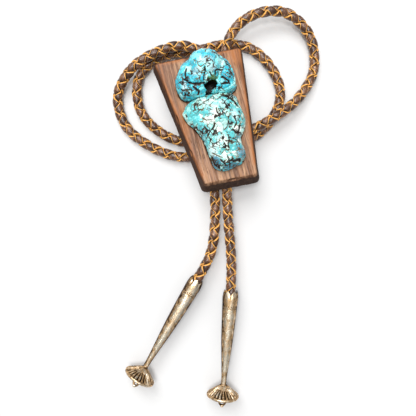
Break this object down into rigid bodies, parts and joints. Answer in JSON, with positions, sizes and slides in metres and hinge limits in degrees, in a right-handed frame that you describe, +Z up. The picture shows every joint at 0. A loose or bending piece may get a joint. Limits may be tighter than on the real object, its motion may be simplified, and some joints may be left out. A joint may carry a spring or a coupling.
{
  "type": "bolo tie",
  "caption": "Bolo tie lying flat: dark braided cord wound twice round, fluted silver tips, and a tapered wooden slide with turquoise nuggets.",
  "frame": {"origin": "on the surface that the tie lies on, under the middle of the slide and the tips together", "axes": "+Z up from the surface, +Y from the tips to the slide's wide end, +X to the right seen from the front"},
  "size_m": [0.1184, 0.2247, 0.0371],
  "materials": {
    "walnut": "oiled, streaked along the slide",
    "turquoise_blue": "polished natural nugget with brown and black matrix",
    "turquoise_pale": "polished natural nugget with a net of grey-brown matrix",
    "braided_leather": "dark brown four-strand round braid with tan cut edges",
    "aged_silver": "worn silver, bright on the ridges and brown in the grooves",
    "sleeve_metal": "plain satin metal"
  },
  "bodies": {
    "root": {"wood_slab": "walnut", "stone_upper": "turquoise_blue", "stone_lower": "turquoise_pale", "cord_sleeve": "sleeve_metal", "cord": "braided_leather", "tip_left": "aged_silver", "tip_right": "aged_silver"}
  },
  "joints": []
}
